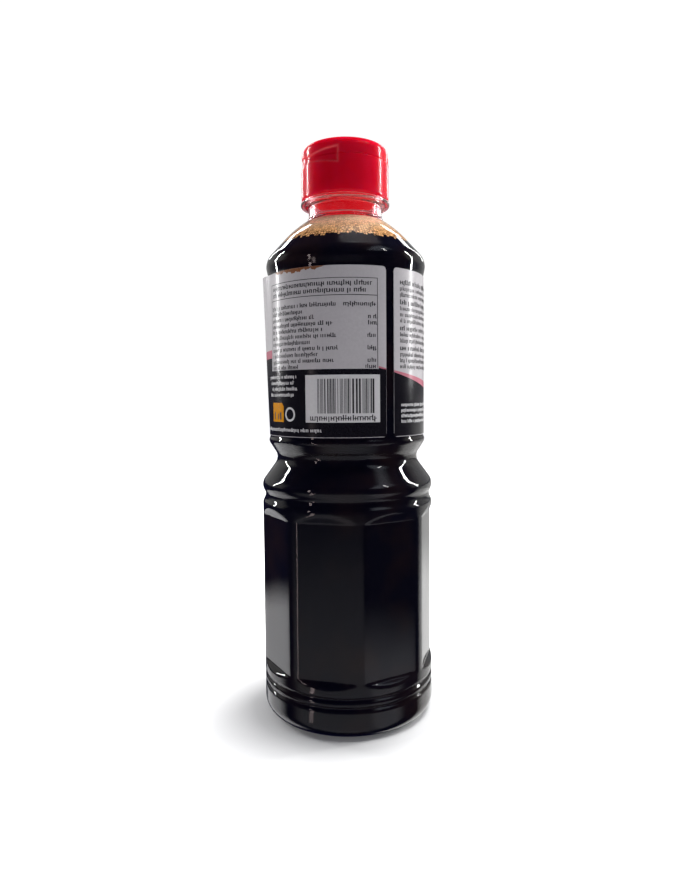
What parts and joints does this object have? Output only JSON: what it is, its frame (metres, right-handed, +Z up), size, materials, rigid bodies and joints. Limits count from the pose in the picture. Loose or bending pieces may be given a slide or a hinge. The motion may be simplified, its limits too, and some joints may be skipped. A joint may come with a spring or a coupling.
{
  "type": "sauce bottle",
  "caption": "Clear panelled bottle of dark sauce, filled and shut, with a pinched waist, a wrap-around label, froth under the neck and a red flip-top cap.",
  "frame": {"origin": "middle of the base, on the surface that the bottle stands on", "axes": "+Z up along the bottle's axis, the barcode side of the label towards -Y, +X to the right when seen from there"},
  "size_m": [0.08, 0.08, 0.2618],
  "materials": {
    "clear_wall": "clear blown plastic, glossy",
    "sauce": "near-black liquid, wet gloss",
    "froth": "fine amber bubbles",
    "label_film": "printed film, satin gloss",
    "cap_red": "glossy moulded red plastic"
  },
  "bodies": {
    "root": {"bottle": "clear_wall", "sauce": "sauce", "froth": "froth", "label": "label_film", "cap": "cap_red"}
  },
  "joints": []
}
